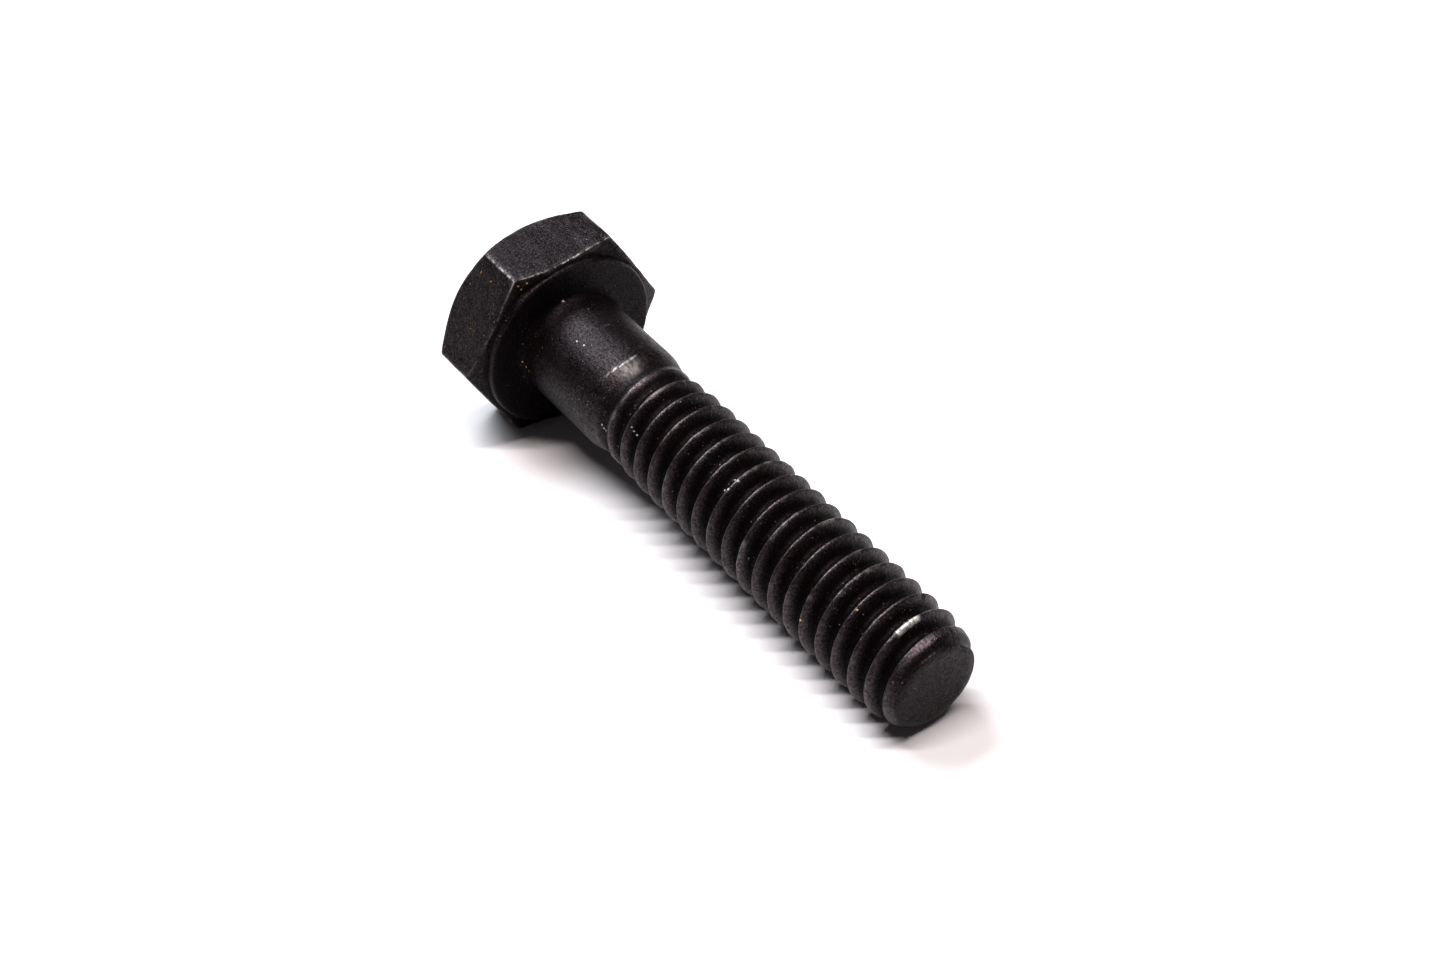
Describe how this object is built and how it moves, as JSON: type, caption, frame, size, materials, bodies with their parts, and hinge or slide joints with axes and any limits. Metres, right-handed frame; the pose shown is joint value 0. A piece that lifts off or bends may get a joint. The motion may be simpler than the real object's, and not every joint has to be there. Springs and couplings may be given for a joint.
{
  "type": "hex cap screw",
  "caption": "One-piece steel hex cap screw: hexagon head with washer face, plain shank, tapered run-in and a right-hand rolled 60 degree thread to a chamfered point.",
  "frame": {"origin": "centre of the bearing (washer) face under the head", "axes": "X along the screw: the thread and tip are at -X, the head is at +X. +Z is square to a wrench flat, so the opposite flat faces down; two hexagon corners are at +Y and -Y."},
  "size_m": [0.0351, 0.0124, 0.0108],
  "materials": {
    "black_oxide_steel": "black oxide, lightly oiled, worn bare on thin edges"
  },
  "bodies": {
    "root": {"hex_cap_screw": "black_oxide_steel"}
  },
  "joints": []
}
